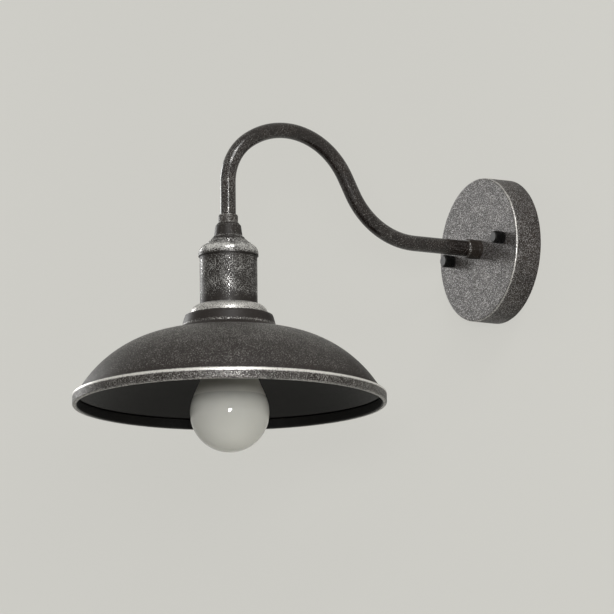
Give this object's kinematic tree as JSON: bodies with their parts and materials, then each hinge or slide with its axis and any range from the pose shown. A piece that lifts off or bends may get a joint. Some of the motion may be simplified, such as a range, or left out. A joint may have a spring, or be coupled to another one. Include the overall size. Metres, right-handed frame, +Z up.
{
  "type": "gooseneck wall sconce",
  "caption": "Wall light on a curved gooseneck arm with a broad spun metal shade, a round canopy and a screw-in bulb.",
  "frame": {"origin": "centre of the canopy's back, on the wall", "axes": "+Z up, the arm reaches out from the wall along -Y, +X to the right when facing the wall"},
  "size_m": [0.26, 0.398, 0.2813],
  "materials": {
    "antique_metal": "black paint dry-brushed with silver, satin, slightly rough",
    "shade_metal": "black paint dry-brushed with silver outside, satin black inside",
    "black_metal": "black, satin",
    "zinc_steel": "bright zinc plated",
    "brass": "plain, satin",
    "white_plastic": "moulded, natural",
    "black_plastic": "moulded phenolic, satin",
    "ceramic": "unglazed, matt",
    "live_insulation": "brown flexible insulation",
    "neutral_insulation": "blue flexible insulation",
    "nickel_shell": "nickel plated, bright",
    "bulb_insulation": "black, glossy",
    "bulb_housing": "moulded, satin",
    "bulb_globe": "opal, satin",
    "heat_sink": "pressed, satin",
    "circuit_board": "laminate with solder mask",
    "led": "cast resin"
  },
  "bodies": {
    "fixture": {"mounting_strap": "zinc_steel", "strap_studs": "zinc_steel", "earth_washer": "brass", "earth_screw": "brass", "terminal_block_body": "white_plastic", "terminal_block_tubes": "brass", "terminal_block_screws": "zinc_steel", "terminal_block_fixing_screw": "zinc_steel", "canopy": "antique_metal", "wall_spacer_ring": "antique_metal", "wall_collar": "antique_metal", "wall_nipple": "zinc_steel", "wall_tooth_washer": "zinc_steel", "wall_lock_nut": "zinc_steel", "nipple_bushing": "white_plastic", "gooseneck_tube": "antique_metal", "lamp_collar": "antique_metal", "lamp_nipple": "zinc_steel", "lamp_tooth_washer": "zinc_steel", "lamp_lock_nut": "zinc_steel", "live_lead": "live_insulation", "neutral_lead": "neutral_insulation", "socket_cap": "antique_metal", "socket_cup": "antique_metal", "shade": "shade_metal", "shade_ring": "black_plastic", "lampholder_cap": "black_plastic", "lampholder_skirt": "black_plastic", "lampholder_core": "ceramic", "lampholder_terminals": "brass", "lampholder_terminal_screws": "zinc_steel", "screw_shell": "brass", "centre_contact": "brass"},
    "bulb_travel": {"bulb_contact": "nickel_shell"},
    "bulb": {"bulb_screw_shell": "nickel_shell", "bulb_insulator": "bulb_insulation", "bulb_housing": "bulb_housing", "bulb_heat_sink": "heat_sink", "bulb_led_board": "circuit_board", "bulb_leds": "led", "bulb_driver_board": "circuit_board", "bulb_driver_parts": "black_plastic", "bulb_globe": "bulb_globe"},
    "left_nut_travel": {"left_cap_nut_washer": "black_plastic"},
    "left_nut": {"left_cap_nut": "black_metal"},
    "right_nut_travel": {"right_cap_nut_washer": "black_plastic"},
    "right_nut": {"right_cap_nut": "black_metal"}
  },
  "joints": [
    {"name": "bulb_travel", "type": "slide", "parent": "fixture", "child": "bulb_travel", "axis": [0, 0, -1], "range_m": [0, 0.01542]},
    {"name": "bulb_unscrew", "type": "hinge", "parent": "bulb_travel", "child": "bulb", "pos_m": [0, -0.268, -0.09], "axis": [0, 0, -1], "range_deg": [0, 1530]},
    {"name": "left_nut_travel", "type": "slide", "parent": "fixture", "child": "left_nut_travel", "axis": [0, -1, 0], "range_m": [0, 0.0063]},
    {"name": "left_nut_unscrew", "type": "hinge", "parent": "left_nut_travel", "child": "left_nut", "pos_m": [-0.03928, -0.03, -0.00413], "axis": [0, -1, 0], "range_deg": [0, 3240]},
    {"name": "right_nut_travel", "type": "slide", "parent": "fixture", "child": "right_nut_travel", "axis": [0, -1, 0], "range_m": [0, 0.0063]},
    {"name": "right_nut_unscrew", "type": "hinge", "parent": "right_nut_travel", "child": "right_nut", "pos_m": [0.03928, -0.03, 0.00413], "axis": [0, -1, 0], "range_deg": [0, 3240]}
  ],
  "couplings": [
    {"joint": "bulb_unscrew", "follows": "bulb_travel", "rad_per_m": 1731.6},
    {"joint": "left_nut_unscrew", "follows": "left_nut_travel", "rad_per_m": 8976},
    {"joint": "right_nut_unscrew", "follows": "right_nut_travel", "rad_per_m": 8976}
  ]
}
